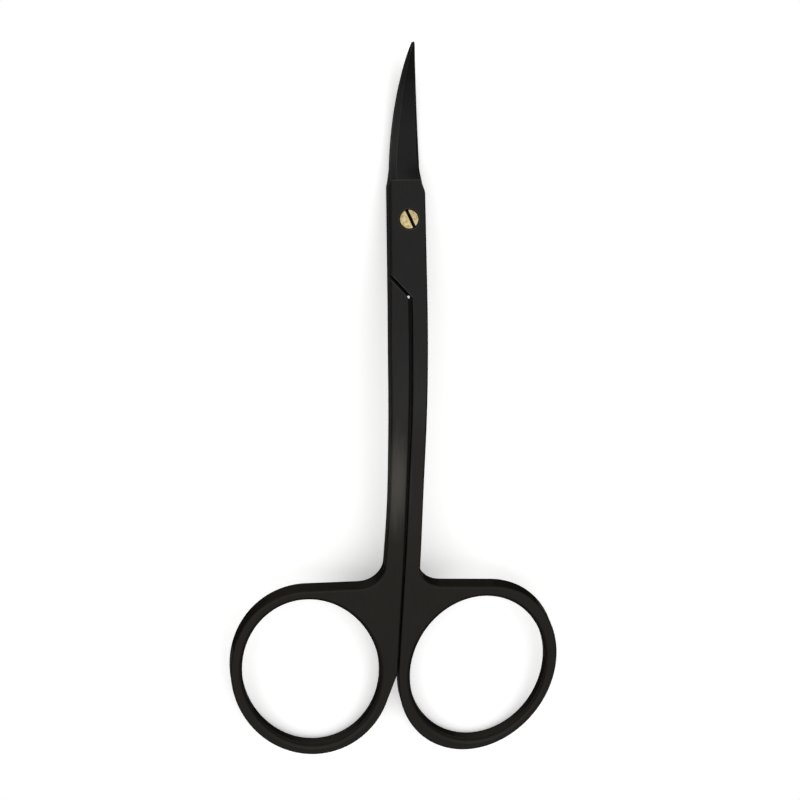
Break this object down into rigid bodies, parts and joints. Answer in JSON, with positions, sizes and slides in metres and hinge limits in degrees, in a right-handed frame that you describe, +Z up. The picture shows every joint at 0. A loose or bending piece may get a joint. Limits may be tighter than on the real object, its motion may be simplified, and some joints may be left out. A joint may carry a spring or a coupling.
{
  "type": "gum scissors",
  "caption": "Fine surgical scissors with S-curved shanks, slender upturned blades, leaning oval finger rings and a slotted joint screw.",
  "frame": {"origin": "middle of the closed scissors, on the surface that they lie on", "axes": "+Y from the finger rings toward the tips, +Z up, +X toward the upper half's ring"},
  "size_m": [0.0544, 0.1196, 0.0118],
  "materials": {
    "black_steel": "satin black coated steel",
    "brass": "turned brass"
  },
  "bodies": {
    "lower": {"lower_half": "black_steel", "joint_screw": "brass"},
    "upper": {"upper_half": "black_steel"}
  },
  "joints": [
    {"name": "joint", "type": "hinge", "parent": "lower", "child": "upper", "pos_m": [0.00057, 0.03209, 0.004], "axis": [0, 0.2817, 0.9595], "range_deg": [0, 100]}
  ]
}
